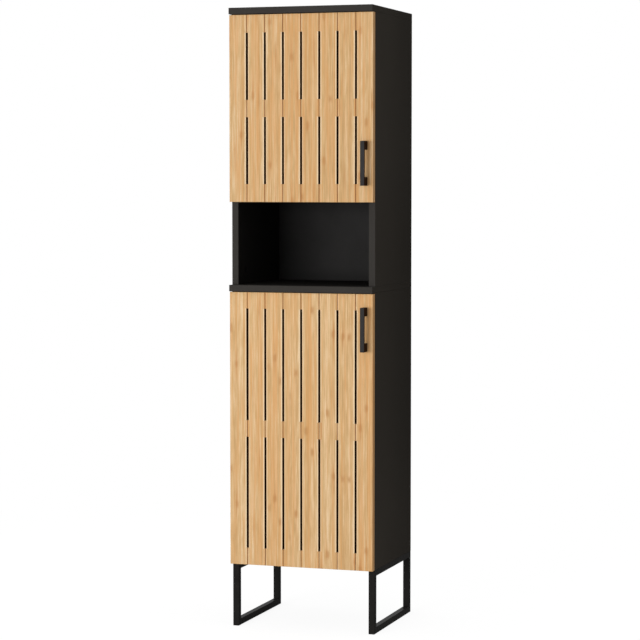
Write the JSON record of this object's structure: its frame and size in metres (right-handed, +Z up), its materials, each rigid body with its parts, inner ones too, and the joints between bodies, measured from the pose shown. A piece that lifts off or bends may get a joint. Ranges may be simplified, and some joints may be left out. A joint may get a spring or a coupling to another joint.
{
  "type": "tall bathroom cabinet",
  "caption": "Tall narrow cabinet on sled legs: a slatted wooden door above and below an open niche, each with a bar handle, in a black carcass.",
  "frame": {"origin": "on the floor, midway across the width and midway between the handles' fronts and the cabinet's back", "axes": "+X to the right as the doors are faced, +Y to the back, +Z up"},
  "size_m": [0.35, 0.34, 1.45],
  "materials": {
    "bamboo": "satin clear lacquer over laminated bamboo strips with fine straight grain and small nodes",
    "black_board": "matt black melamine-faced particle board with matching edge banding",
    "back_board": "matt black painted hardboard",
    "black_frame": "fine matt black powder coat",
    "black_handle": "satin black powder coat",
    "black_cam": "blackened zinc alloy",
    "hinge_steel": "nickel-plated pressed steel",
    "fastener_steel": "bright zinc plate",
    "beech": "fluted beech dowel, unfinished",
    "bumper": "soft clear bumper"
  },
  "bodies": {
    "carcass": {"top_board": "black_board", "middle_board": "black_board", "bottom_board": "black_board", "niche_ceiling": "black_board", "upper_side_left": "black_board", "upper_side_right": "black_board", "lower_side_left": "black_board", "lower_side_right": "black_board", "upper_back": "back_board", "lower_back": "back_board", "upper_shelf": "black_board", "lower_shelf_low": "black_board", "lower_shelf_high": "black_board", "shelf_pins": "fastener_steel", "cams": "black_cam", "cam_bolts": "fastener_steel", "dowels": "beech", "leg_frame_left": "black_frame", "leg_frame_right": "black_frame", "leg_frame_screws": "fastener_steel", "upper_hinge_arms": "hinge_steel", "upper_hinge_plates": "hinge_steel", "upper_plate_screws": "fastener_steel", "lower_hinge_arms": "hinge_steel", "lower_hinge_plates": "hinge_steel", "lower_plate_screws": "fastener_steel"},
    "upper_door": {"upper_door_slat_1": "bamboo", "upper_door_slat_2": "bamboo", "upper_door_slat_3": "bamboo", "upper_door_slat_4": "bamboo", "upper_door_slat_5": "bamboo", "upper_door_slat_6": "bamboo", "upper_door_slat_7": "bamboo", "upper_door_slat_8": "bamboo", "upper_handle": "black_handle", "upper_handle_screws": "fastener_steel", "upper_hinge_cups": "hinge_steel", "upper_hinge_pins": "hinge_steel", "upper_cup_screws": "fastener_steel", "upper_bumpers": "bumper"},
    "lower_door": {"lower_door_slat_1": "bamboo", "lower_door_slat_2": "bamboo", "lower_door_slat_3": "bamboo", "lower_door_slat_4": "bamboo", "lower_door_slat_5": "bamboo", "lower_door_slat_6": "bamboo", "lower_door_slat_7": "bamboo", "lower_door_slat_8": "bamboo", "lower_handle": "black_handle", "lower_handle_screws": "fastener_steel", "lower_hinge_cups": "hinge_steel", "lower_hinge_pins": "hinge_steel", "lower_cup_screws": "fastener_steel", "lower_bumpers": "bumper"}
  },
  "joints": [
    {"name": "upper_door_swing", "type": "hinge", "parent": "carcass", "child": "upper_door", "pos_m": [-0.168, -0.1375, 1.217], "axis": [0, 0, -1], "range_deg": [0, 95]},
    {"name": "lower_door_swing", "type": "hinge", "parent": "carcass", "child": "lower_door", "pos_m": [-0.168, -0.1375, 0.47025], "axis": [0, 0, -1], "range_deg": [0, 95]}
  ]
}
